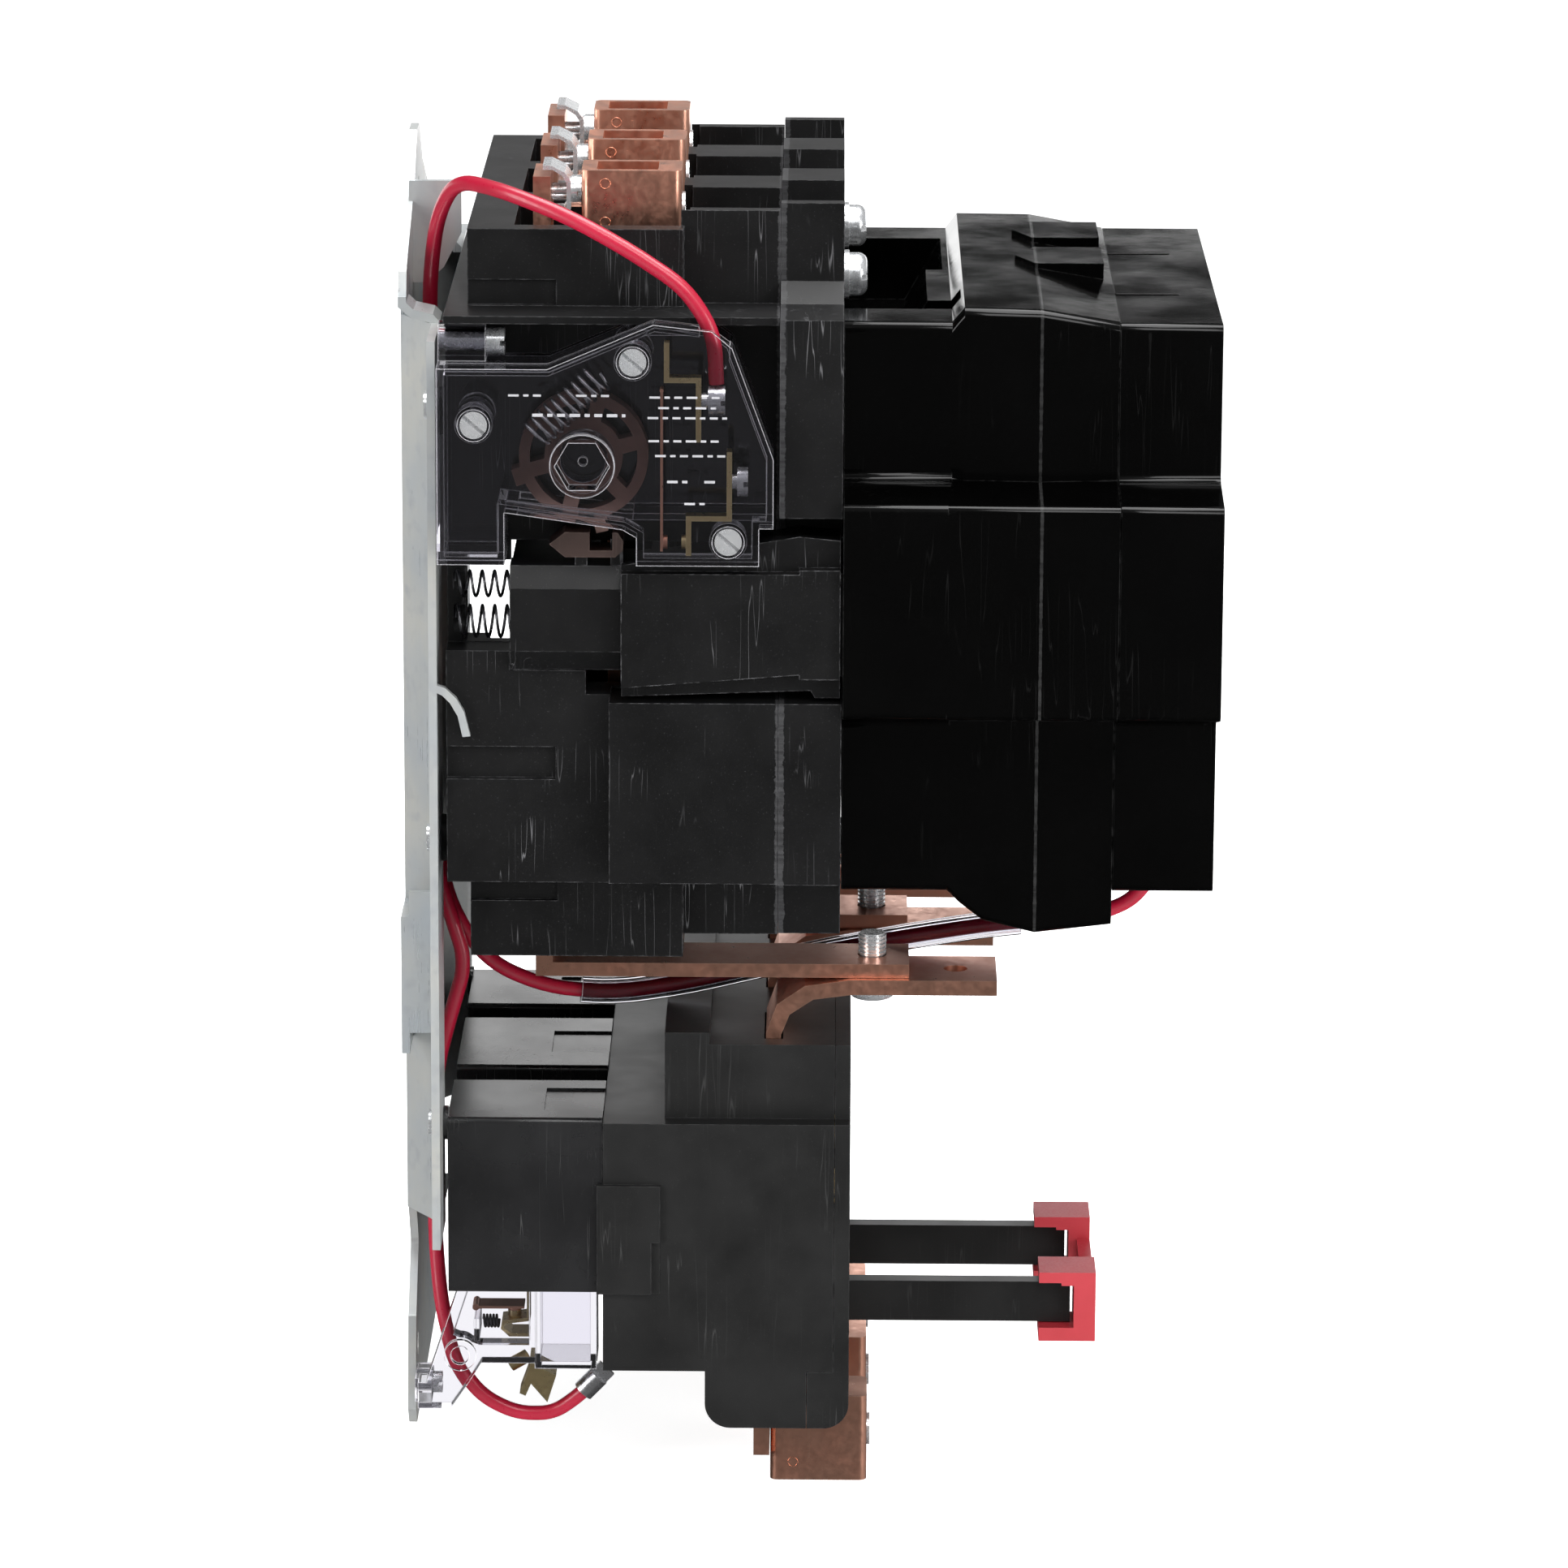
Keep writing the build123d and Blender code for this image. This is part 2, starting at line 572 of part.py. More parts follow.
def relay_strap(x):
    """A copper strap that steps down from the contactor's strap into the top of the relay."""
    top = -177.4
    path = [(-139, top), (-104.5, top), (-94, top - 1.5), (-87.5, top - 6), (-85, top - 13), (-85, -196),
            (-88.5, -196), (-88.5, top - 13.5), (-90.5, top - 8.5), (-96, top - 4.8), (-105, top - 3.6),
            (-139, top - 3.6)]
    strap = slab_x(path, x - 10.9, x + 10.9)
    strap -= rod_z(x, -109.8, 3.4, -190, -170)
    return strap - rod_z(x, -129.4, 2.8, -190, -170)


def strap_bolts():
    """Round-headed screws from below, which clamp each pair of straps and stand proud above."""
    bolts = []
    for x in POLES.values():
        head = rod_z(x, -109.8, 5.6, -184.4, -181.1)
        head = fillet(head.edges().filter_by(GeomType.CIRCLE).sort_by(Axis.Z)[0], 2.0)
        shank = rod_z(x, -109.8, 2.9, -181.2, -168.6)
        for turn in range(5):
            shank += rod_z(x, -109.8, 3.3, -173.6 + turn, -173.1 + turn)
        bolts.append(head + shank)
    return joined(bolts)


# Auxiliary contact module

def aux_shell(points, x_low, x_high, floor, screws):
    """A tray with the module's outline: a floor and a thin wall round it, plus screw bosses."""
    body = slab_x(points, x_low, x_high)
    room = offset(Plane.YZ * Polygon(*points, align=None), amount=-1.6, kind=Kind.INTERSECTION)
    inner = extrude(room, amount=x_high - x_low + 20, dir=(1, 0, 0))
    shell = body - (Pos(x_low - 10, 0, 0) * inner - slab_x(points, *floor))
    for y, z in screws:
        shell += rod_x(y, z, 4.2, x_low, x_high) & body
    return shell


def aux_case():
    """The rear half, with the rotor's bearing and the round boss for the mounting screw."""
    case = aux_shell(AUX_CASE_OUTLINE, AUX_SPLIT, AUX_BACK, (AUX_BACK - 1.5, AUX_BACK), AUX_SCREWS[:2])
    case += rod_x(ROTOR_Y, ROTOR_Z, 5.2, AUX_SPLIT, AUX_BACK)
    case += rod_y(*AUX_BOSS, 4.7, -21.1, -10.3) + block((-78.1, -68.7), (-21.1, -10.3), (-28, -22.6))
    case -= block((-79.9, -69.6), (-54.5, -28.5), (-74, -57.5))
    case -= rod_y(*AUX_BOSS, 2.2, -30, 0)
    for y, z in AUX_SCREWS:
        case -= rod_x(y, z, 1.7, -90, -60)
    return case


def aux_cover():
    """The clear near half, with the hexagonal socket over the rotor."""
    floor = (AUX_FRONT, AUX_FRONT + 1.5)
    cover = aux_shell(AUX_OUTLINE, AUX_FRONT, AUX_SPLIT - 0.1, floor, AUX_SCREWS)
    cover += rod_x(ROTOR_Y, ROTOR_Z, 7.3, AUX_FRONT - 0.9, AUX_SPLIT - 0.1)
    socket = Plane.YZ.offset(AUX_FRONT - 1) * Pos(ROTOR_Y, ROTOR_Z) * RegularPolygon(6.2, 6)
    cover -= extrude(socket, amount=6, dir=(1, 0, 0))
    cover -= rod_x(ROTOR_Y, ROTOR_Z, 1.0, -90, -78)
    cover -= block((-86, -80), (-76.4, -69.6), (-28, -16))
    for y, z in AUX_SCREWS:
        cover -= rod_x(y, z, 3.6, AUX_FRONT - 1, AUX_FRONT + 2.6)
        cover -= rod_x(y, z, 1.7, -90, -60)
    return cover


def aux_screws():
    """Three slotted screws that close the module, and the one that fixes it to the base."""
    screws = []
    for (y, z), tip in zip(AUX_SCREWS, (-70, -70, AUX_SPLIT - 0.4)):
        screw = rod_x(y, z, 3.1, AUX_FRONT + 0.5, AUX_FRONT + 2.6) + rod_x(y, z, 1.5, AUX_FRONT + 2.6, tip)
        slot = Pos(AUX_FRONT + 0.5, y, z) * Rot(40, 0, 0) * Box(1.6, 7, 0.9)
        screws.append(screw - slot)
    mount = slotted_head_y(*AUX_BOSS, 3.1, -25.3, -21.2) + rod_y(*AUX_BOSS, 2.0, -21.3, -10.4)
    return joined(screws + [mount])


def aux_rotor():
    """The brown six-spoked rotor, with the finger that the shoe drives."""
    x_low, x_high = -76.0, -70.2
    rim = rod_x(ROTOR_Y, ROTOR_Z, 14.7, x_low, x_high) - rod_x(ROTOR_Y, ROTOR_Z, 12.2, -80, -60)
    hub = rod_x(ROTOR_Y, ROTOR_Z, 8.9, x_low, x_high)
    wheel = rim + hub
    for spoke in range(6):
        arm = Pos(0, 0, 10.6) * Box(x_high - x_low, 3.4, 4.6)
        wheel += Pos((x_low + x_high) / 2, ROTOR_Y, ROTOR_Z) * Rot(60 * spoke + 15, 0, 0) * arm
    tilt = 13.5
    finger = Pos(0, 0, -16) * Box(x_high - x_low, 2.8, 4.2)
    wheel += Pos((x_low + x_high) / 2, ROTOR_Y, ROTOR_Z) * Rot(-tilt, 0, 0) * finger
    tooth = Pos(0, 0, -15.2) * Box(x_high - x_low, 4, 3)
    wheel += Pos((x_low + x_high) / 2, ROTOR_Y, ROTOR_Z) * Rot(72, 0, 0) * tooth
    return wheel - rod_x(ROTOR_Y, ROTOR_Z, 5.5, -80, -60)


def aux_spring():
    """The long slanting spring in front of the rotor."""
    coil = spring_y(0, 0, 3.5, 0.4, 10, -10.5, 10.5)
    return Pos(-81.4, -39.6, -35.8) * Rot(-43, 0, 0) * coil


def aux_upper_contact():
    """The brass strip from the upper terminal to the foot of the moving leaf."""
    strip = block(TERMINAL_X, (-62.8, -61.6), (-29.8, -20.7))
    strip += block(TERMINAL_X, (-70, -61.6), (-29.8, -28.6))
    return strip + block(TERMINAL_X, (-70, -68.8), (-43.4, -28.6))


def aux_lower_contact():
    """The brass strip with the lower fixed contact."""
    strip = block(TERMINAL_X, (-77, -75.8), (-61.6, -45.6)) + block(TERMINAL_X, (-77, -66.6), (-61.6, -60.4))
    strip += block(TERMINAL_X, (-67.8, -66.6), (-69.6, -60.4))
    return strip + rod_y(-82.5, -66.8, 1.6, -66.6, -65.6)


def aux_terminal_screws():
    upper = slotted_head_y(-82.5, -34.2, 3.4, -75.4, -71.6) + rod_y(-82.5, -34.2, 1.8, -71.7, -70.05)
    lower = slotted_head_y(-82.5, -52.8, 3.4, -80.6, -78.2) + rod_y(-82.5, -52.8, 1.8, -78.3, -77.05)
    return joined([upper, lower])


def aux_leaf():
    """The moving contact leaf: thin copper, hinged where it meets the upper strip."""
    leaf = block((-84.6, -80.6), (-61.4, -60.8), (-68.6, -31.2)) + rod_x(-61.1, -31.6, 0.45, -84.6, -80.6)
    return leaf + rod_y(-82.5, -66.8, 1.6, -62.4, -61.4)


# Overload relay

def relay_base():
    """The relay's main moulding, with pockets in front for the thermal units."""
    main = block((-66, 66), (-101.2, -47), (RELAY_BOTTOM, RELAY_TOP))
    upper = block((-61, 61), (-101.2, -61.4), (RELAY_TOP - 1, -191.6))
    crest = block((-61, 61), (-71.9, -61.4), (RELAY_TOP - 1, -188.8))
    skirt = slab_x([(-71, -260), (-71, -284.3), (-94.9, -284.3), (-94.9, -260)], -66, 66)
    skirt = fillet(skirt.edges().filter_by(Axis.X).group_by(Axis.Z)[0].sort_by(Axis.Y)[-1], 6)
    tab = block((-67.2, -65.5), (-60.4, -45.6), (-251.1, -224.5))
    tab -= block((-68, -66.2), (-60.4, -58.4), (-252, -238.4))
    relay = main + upper + crest + skirt + both_sides(tab)
    relay -= block((-62, 62), (-82, -50), (-266, -215))
    for x in POLES.values():
        relay -= block((x - 12, x + 12), (-110, -90), (-262, -205))
        relay -= block((x - 11.3, x + 11.3), (-89, -84.6), (-215, -180))
        relay -= block((x - 9.6, x + 9.6), (-86.6, -82), (-300, -205))
        relay -= block((x - 9.6, x + 9.6), (-93, -86), (-256.4, -251.6))
        relay -= block((x - 9, x + 9), (-110, -86), (-286, -280))
        relay -= block((x - 11, x + 11), (-91, -85), (-213, -204.9))
    for x in (-RESET_X, RESET_X):
        relay -= block((x - 2.6, x + 2.6), (-110, -58), (-271.6, -260.4))
    return relay


def relay_cover():
    """The relay's front cover: a rim with a window over each thermal unit."""
    cover = block((-66, 66), (-104.9, -101.3), (-265, RELAY_TOP))
    cover += block((-61, 61), (-104.9, -101.3), (-211, -191.6))
    lower = slab_x([(-95, -265.1), (-95, -284.3), (-104.9, -284.3), (-104.9, -265.1)], -66, 66)
    lower = fillet(lower.edges().filter_by(Axis.X).group_by(Axis.Z)[0].sort_by(Axis.Y)[0], 6)
    lower -= block((-70, 70), (-101.2, -90), (-270.4, -260))
    cover += lower + block((-66, 66), (-104.9, -101.3), (-266, -264))
    for x in POLES.values():
        cover -= block((x - 12, x + 12), (-110, -90), (-262, -205))
        cover -= block((x - 9, x + 9), (-110, -94), (-286, -278))
    for x in (-RESET_X, RESET_X):
        cover -= block((x - 2.6, x + 2.6), (-110, -70), (-271.6, -260.4))
    return cover


def relay_block(x_low, x_high):
    """One of the three rear blocks, which stand the relay off the plate."""
    shape = block((x_low, x_high), (-46.9, -10.7), (-251.1, -208.7))
    shape = fillet(shape.edges().filter_by(Axis.Y).group_by(Axis.Z)[-1], 1.2)
    seat = block(((x_low + x_high) / 2 - 9, (x_low + x_high) / 2 + 9), (-50, -33), (-209.2, -208))
    shape -= seat
    for x, z in relay_screw_places():
        if x_low < x < x_high:
            shape += rod_y(x, z, 4.0, -10.8, -9.6)
            shape -= rod_y(x, z, 2.05, -20, -5)
    return shape


def relay_load_strap(x):
    """The relay's load terminal: a copper bar down to the lug."""
    bar = block((x - 9.2, x + 9.2), (-86.2, -82.4), (-295.3, -252))
    return bar + block((x - 9.2, x + 9.2), (-92, -86.2), (-256, -252))


def load_lug(x):
    return box_lug(x, *LOAD_LUG)


def thermal_unit(x):
    """A melting-alloy heater: two end plates, the heater winding and the alloy tube."""
    plate = block((x - 9, x + 9), (-92.9, -90.4), (-215, -206))
    plate += block((x - 9, x + 9), (-94.6, -92.1), (-256, -246))
    spine = block((x - 2, x + 2), (-94.6, -92), (-248.4, -213))
    tube = rod_y(x, -231, 7, -100.4, -92.2)
    return plate + spine + tube - rod_y(x, -231, 2.3, -110, -93.4)


def thermal_screws():
    screws = []
    for x in POLES.values():
        screws.append(slotted_head_y(x, -209.4, 3.2, -96.2, -92.95))
        screws.append(slotted_head_y(x, -252, 3.2, -97.4, -94.65))
    return joined(screws)


def ratchet_wheel(x):
    """The toothed wheel on the alloy tube's shaft, which turns when the alloy melts."""
    wheel = rod_y(x, -231, 4.2, -103.6, -100.9)
    for tooth in range(10):
        cut = Pos(x, -102.2, -231) * Rot(0, 36 * tooth, 0) * Pos(4.5, 0, 0) * Rot(0, 45, 0) * Box(1.4, 4, 1.4)
        wheel -= cut
    return wheel + rod_y(x, -231, 2.0, -101, -94)


def trip_bar():
    """The slide inside the relay that opens the control contact when a wheel lets go."""
    bar = block((-58, 58), (-62, -56), (-258, -250))
    for x in POLES.values():
        bar += block((x - 2, x + 2), (-77.5, -60), (-257, -251))
    return bar


def trip_springs():
    return joined([spring_y(x, -254, 2.6, 0.4, 3, -55.9, -50.1) for x in (-40, 0, 40)])


def reset_bar(x):
    """A black bar that pushes the trip slide home when the cap is pressed."""
    return block((x - 2.2, x + 2.2), (-158.2, -68.3), (-271, -261))


def reset_cap():
    """The red cap that joins the two reset bars."""
    cap = None
    for x in (-RESET_X, RESET_X):
        clip = block((x - 6.4, x + 6.4), (-164.2, -150.6), (-274.6, -257.4))
        clip -= block((x - 7, x + 7), (-159, -150), (-271.3, -260.7))
        clip -= block((x - 7, x + 7), (-156, -150), (-271.3, -260))
        cap = clip if cap is None else cap + clip
    return cap + block((-RESET_X, RESET_X), (-164.2, -161), (-269, -263))


def reset_spring():
    return spring_y(0, -240, 2.6, 0.45, 5, -79, -68)


# Overload control contact

def blade_spring():
    """The small spring between the brass strip and the case."""
    return spring_y(-49.5, -263.4, 1.4, 0.3, 5, -22.2, -17.8)


def contact_case():
    """The clear case below the left rear block, with its arm and its foot on the plate."""
    box = block((-60, -44), (-45.3, -30.7), (-271.9, -251.2))
    box -= block((-58.6, -45.4), (-43.9, -32), (-270.5, -250))
    outer = [(-13, -251.2), (-3, -281.8), (-10.7, -282.1), (-15.2, -275.4), (-18.1, -270.6), (-31, -270.6),
             (-31, -251.2)]
    arm = slab_x(outer, *CASE_X)
    room = [(-15, -252.8), (-11.4, -264), (-17.6, -266.4), (-29.4, -266.4), (-29.4, -252.8)]
    arm -= slab_x(room, CASE_X[0] + 1.2, CASE_X[1] + 1)
    boss = rod_x(-13.1, -268.4, 3.8, CASE_X[0] - 1.4, CASE_X[1]) - rod_x(-13.1, -268.4, 2.2, -65, -56)
    foot = block((-54, -42), (-6, -SHEET - 0.1), (-282.4, -276.6))
    foot += block(CASE_X, (-10.7, -3), (-282, -275.6))
    post = block((-59, -46), (-17.6, -16.4), (-265.4, -260))
    return box + arm + boss + foot + post - rod_y(*CASE_SCREW, 1.6, -10, 1)


def contact_case_screw():
    """The screw through the case's foot into the plate."""
    return slotted_head_y(*CASE_SCREW, 2.6, -8.2, -6.1) + rod_y(*CASE_SCREW, 1.45, -6.2, -0.2)


def control_contacts():
    """The control contact's brass strip, its terminal tab and the tab's screw."""
    strip = slab_x(
        [(-28.6, -251.2), (-29.4, -251.2), (-29.4, -262.3), (-23.4, -263.1), (-23.2, -264.2),
         (-25, -265.4), (-29.2, -265.4), (-29.2, -266.2), (-24.4, -266.2), (-22.4, -264.3),
         (-22.7, -262.3), (-28.6, -261.5)],
        -53, -46,
    )
    strip += rod_z(-49.5, -25.6, 1.6, -262.1, -260.5)
    tab = slab_x(
        [(-26.8, -280.5), (-28.2, -281.1), (-29.5, -278.1), (-33.4, -282.7), (-35.5, -276), (-30.4, -273.4),
         (-30.4, -270.7), (-29.4, -270.7), (-29.4, -273.2)],
        -53, -46,
    )
    screw = Pos(-49.5, -26.6, -273) * Rot(60, 0, 0) * Cylinder(1.9, 5)
    return joined([strip, tab + screw])


def control_leaf():
    """The moving blade of the control contact, lifted off when the relay trips."""
    blade = block((-52.6, -46.4), (-28, -16.5), (-259.4, -258.8)) + rod_x(-16.5, -259.1, 0.8, -52.6, -46.4)
    return blade + rod_z(-49.5, -25.6, 1.6, -260.4, -259.3)


def ferrule():
    """The crimped end on the control wire, with its flat tongue."""
    start, end = Vector(*RELAY_WIRE[0]), Vector(*RELAY_WIRE[1])
    along = Plane(origin=start, z_dir=end - start)
    sleeve = along * Pos(0, 0, 2.45) * (Cylinder(2.6, 5) - Cylinder(WIRE_RADIUS + 0.05, 6))
    tongue = along * Pos(0, 0, -1.7) * Box(4.6, 1.2, 3.2)
    return sleeve + along * Pos(0, 0, -0.2) * Cylinder(2.6, 0.4) + tongue


# Wires

def bend_radii(points):
    """For each corner of a route, the largest arc that its two runs allow."""
    places = [Vector(*point) for point in points]
    radii = []
    for before, here, after in zip(places, places[1:], places[2:]):
        arriving = here - before
        leaving = after - here
        half_turn = radians(arriving.get_angle(leaving) / 2)
        radii.append(0.45 * min(arriving.length, leaving.length) / tan(half_turn))
    return radii


def tube_along(points, bends, radius):
    """A round tube on straight runs joined by arcs."""
    path = FilletPolyline(*points, radius=bends)
    tube = sweep(Plane(origin=path @ 0, z_dir=path % 0) * Circle(radius), path=path)
    ideal = pi * radius ** 2 * path.length
    print("tube", round(path.length, 1), "mm, volume ratio", round(tube.volume / ideal, 4),
          "smallest bend", round(min(bends), 1))
    return tube


def wire(route):
    return tube_along(route, bend_radii(route), WIRE_RADIUS)


def wire_sleeve():
    """The clear sleeve over the seal-in wire where it passes between the copper straps."""
    first, last = SLEEVE_SPAN
    places = [Vector(*point) for point in SEAL_IN_WIRE]
    start = (places[first - 1] + places[first]) / 2
    end = (places[last] + places[last + 1]) / 2
    run = [start] + places[first:last + 1] + [end]
    bends = bend_radii(SEAL_IN_WIRE)[first - 1:last]
    return tube_along(run, bends, SLEEVE_RADIUS) - tube_along(run, bends, WIRE_RADIUS + 0.35)


def build():
    parts = {
        "mounting_plate": mounting_plate(),
        "plate_screws": joined([
            rear_screws(base_screw_places(), -19), rear_screws(relay_screw_places(), -19),
        ]),
        "latch_clip": latch_clip(),
        "contactor_base": contactor_base(),
        "contact_block_cover": contact_block_cover(),
        "cover_screws": cover_screws(),
        "magnet_housing": magnet_housing(),
        "front_cap": front_cap(),
        "magnet_core": magnet_core(),
        "coil_bobbin": coil_bobbin(),
        "coil_winding": coil_winding(),
        "shading_rings": shading_rings(),
        "coil_terminals": coil_terminals(),
        "contact_carrier": contact_carrier(),
        "drive_shoe": drive_shoe(),
        "armature": armature(),
        "contact_springs": contact_springs(),
        "return_springs": return_springs(),
        "clamp_screws": clamp_screws(),
        "strap_bolts": strap_bolts(),
        "aux_case": aux_case(),
        "aux_cover": aux_cover(),
        "aux_screws": aux_screws(),
        "aux_rotor": aux_rotor(),
        "aux_spring": aux_spring(),
        "aux_upper_contact": aux_upper_contact(),
        "aux_lower_contact": aux_lower_contact(),
        "aux_terminal_screws": aux_terminal_screws(),
        "aux_leaf": aux_leaf(),
        "relay_base": relay_base(),
        "relay_cover": relay_cover(),
        "thermal_screws": thermal_screws(),
        "trip_bar": trip_bar(),
        "relay_springs": joined([trip_springs(), reset_spring(), blade_spring()]),
        "reset_cap": reset_cap(),
        "reset_bars": joined([reset_bar(x) for x in (-RESET_X, RESET_X)]),
        "relay_blocks": joined([relay_block(*span) for span in RELAY_BLOCKS.values()]),
        "terminal_clamps": joined([terminal_clamp(x) for x in POLES.values()]),
        "control_contact_case": contact_case(),
        "control_case_screw": contact_case_screw(),
        "control_contacts": control_contacts(),
        "control_leaf": control_leaf(),
        "wire_ferrule": ferrule(),
        "seal_in_wire": wire(SEAL_IN_WIRE),
        "wire_sleeve": wire_sleeve(),
        "relay_wire": wire(RELAY_WIRE),
    }
    for side, x in POLES.items():
        parts[f"moving_contact_{side}"] = moving_contact(x)
        parts[f"ratchet_wheel_{side}"] = ratchet_wheel(x)
    parts["line_straps"] = joined([line_strap(x) for x in POLES.values()])
    parts["load_straps"] = joined([load_strap(x) for x in POLES.values()])
    parts["line_lugs"] = joined([line_lug(x) for x in POLES.values()])
    parts["load_lugs"] = joined([load_lug(x) for x in POLES.values()])
    parts["lug_screws"] = joined(
        [lug_screw(x, LINE_LUG[0], 3.2) for x in POLES.values()]
        + [lug_screw(x, LOAD_LUG[0], -291.5) for x in POLES.values()]
    )
    parts["relay_straps"] = joined([relay_strap(x) for x in POLES.values()])
    parts["relay_load_straps"] = joined([relay_load_strap(x) for x in POLES.values()])
    parts["thermal_units"] = joined([thermal_unit(x) for x in POLES.values()])
    return parts


def main():
    os.makedirs("parts", exist_ok=True)
    for name, shape in build().items():
        export_step(shape, f"parts/{name}.step")
        print(name, len(shape.solids()), shape.is_valid)


main()
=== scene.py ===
"""Looks of the magnetic motor starter: materials, printed strokes, studio and camera."""

import json
from math import cos, pi, radians, sin

import bmesh
import bpy
from mathutils import Matrix, Vector


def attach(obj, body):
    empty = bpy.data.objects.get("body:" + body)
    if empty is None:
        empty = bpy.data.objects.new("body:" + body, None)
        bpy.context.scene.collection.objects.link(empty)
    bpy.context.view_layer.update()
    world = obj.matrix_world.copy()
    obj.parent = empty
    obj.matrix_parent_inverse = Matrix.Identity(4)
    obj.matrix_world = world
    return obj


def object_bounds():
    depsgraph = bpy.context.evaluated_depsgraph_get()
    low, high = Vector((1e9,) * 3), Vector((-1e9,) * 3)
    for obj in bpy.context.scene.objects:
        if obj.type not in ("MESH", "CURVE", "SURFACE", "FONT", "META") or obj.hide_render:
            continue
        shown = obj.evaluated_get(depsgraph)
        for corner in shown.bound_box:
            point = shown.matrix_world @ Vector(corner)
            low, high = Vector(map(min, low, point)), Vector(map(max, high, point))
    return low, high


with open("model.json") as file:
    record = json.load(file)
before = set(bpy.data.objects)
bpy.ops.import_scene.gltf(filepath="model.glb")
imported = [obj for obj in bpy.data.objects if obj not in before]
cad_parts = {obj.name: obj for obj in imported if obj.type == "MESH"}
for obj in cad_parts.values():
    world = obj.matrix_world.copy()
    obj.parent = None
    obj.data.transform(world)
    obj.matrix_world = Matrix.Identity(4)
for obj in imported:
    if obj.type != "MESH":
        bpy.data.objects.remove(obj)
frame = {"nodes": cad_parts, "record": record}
cad_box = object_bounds()
NODES = frame["nodes"]
MM = 0.001

# Camera: its place, the directions it looks in, and its lens
CAMERA_PLACE = Vector((-1.72863, -0.0992, 0.29059))
LOOK_DOWN = 0.246352
LOOK_ASIDE = radians(0.352)
ROLL = radians(0.285)
LENS_MM = 170.5
SENSOR_MM = 36.0

# Soft lights: name, place, size and power; all aim at the object's middle
LIGHTS_AIM = (0.0, -0.1, -0.14)
SOFT_BOXES = (
    ("top_box", (0.1, -0.2, 1.1), (0.9, 0.9), 22.0),
    ("camera_box", (-1.2, -0.4, 1.2), (0.9, 0.6), 12.0),
    ("rear_box", (-1.0, 1.2, 0.2), (0.6, 1.2), 16.0),
    ("front_box", (-1.1, -1.35, 0.15), (0.6, 1.2), 14.0),
)
FLOOR_REACH = 6.0
# The white card behind the object: its X, half its width and its top edge
CARD_X = 1.0
CARD_HALF = 1.5
CARD_TOP = 0.12

# Mouldings by the radius on their edges
GLOSSY_MOULDINGS = ("magnet_housing", "front_cap")
GLOSSY_EDGE = 0.7 * MM
SATIN_MOULDINGS = ("contactor_base", "contact_block_cover", "relay_base", "relay_cover", "relay_blocks",
                   "contact_carrier")
SATIN_EDGE = 0.35 * MM

# Seams across Y where mouldings meet: place, half width, raggedness and strength
COVER_SEAM = (-88.0 * MM, 0.02 * MM, 1.9 * MM, 0.2)
HOUSING_SEAM = (-147.2 * MM, 0.0, 0.6 * MM, 0.25)

# Printed strokes on the clear module, in millimetres: (first Y, last Y, low Z, high Z)
PRINT_X = (-87.56, -87.50)
PRINTED = (
    (-26.6, -35.0, -32.6, -32.1), (-41.9, -50.5, -32.6, -32.1), (-32.0, -53.0, -37.2, -36.5),
    (-58.4, -75.4, -32.9, -32.4), (-60.4, -74.1, -35.3, -34.8), (-58.0, -75.9, -37.6, -37.1),
    (-58.2, -75.4, -42.9, -42.4), (-59.7, -76.0, -46.3, -45.8),
    (-62.4, -67.2, -52.3, -51.7), (-70.8, -74.5, -52.3, -51.7), (-66.3, -70.9, -57.3, -56.8),
)
DASHES = (2.4, 1.2, 1.8)
DASH_GAP = 1.0
SHORTEST_DASH = 0.8

# Marks struck into the near side of every line and load lug, in millimetres
POLES = (-44.45, 0.0, 44.45)
LUG_HALF = 7.6
LUG_RINGS = ((-47.4, 9.9), (-47.4, 1.0), (-91.8, -284.2), (-91.8, -297.6))
RING_RADIUS = 1.15
# Strokes on a lug: (Y, low Z, high Z)
LUG_STROKES = (
    (-51.2, 7.2, 10.4), (-51.2, 3.4, 6.2), (-51.2, -0.2, 2.4), (-48.9, 2.3, 5.8),
    (-95.6, -296.5, -292.6), (-95.6, -291.6, -288.8), (-95.6, -287.8, -285.0),
)
STROKE_WIDTH = 0.55
MARK_DEPTH = 0.16


# Node building

class Nodes:
    """A node tree, and short calls that add nodes to it."""

    def __init__(self, tree):
        self.tree = tree
        tree.nodes.clear()

    def node(self, kind):
        return self.tree.nodes.new(kind)

    def feed(self, socket, value):
        """Links a socket to the input, or sets the input to a plain value."""
        if isinstance(value, bpy.types.NodeSocket):
            self.tree.links.new(value, socket)
        elif isinstance(value, tuple) and len(value) == 3 and socket.type == "RGBA":
            socket.default_value = (*value, 1.0)
        else:
            socket.default_value = value

    def maths(self, operation, a, b=0.0, clamp=False):
        node = self.node("ShaderNodeMath")
        node.operation = operation
        node.use_clamp = clamp
        self.feed(node.inputs[0], a)
        self.feed(node.inputs[1], b)
        return node.outputs[0]

    def span(self, value, low, high, to_low=0.0, to_high=1.0):
        """Maps low..high onto to_low..to_high, held at both ends."""
        node = self.node("ShaderNodeMapRange")
        self.feed(node.inputs["Value"], value)
        for name, number in (("From Min", low), ("From Max", high), ("To Min", to_low), ("To Max", to_high)):
            node.inputs[name].default_value = number
        return node.outputs["Result"]

    def split(self, place):
        """The X, Y and Z of a place, as the outputs of one node."""
        node = self.node("ShaderNodeSeparateXYZ")
        self.feed(node.inputs[0], place)
        return node.outputs


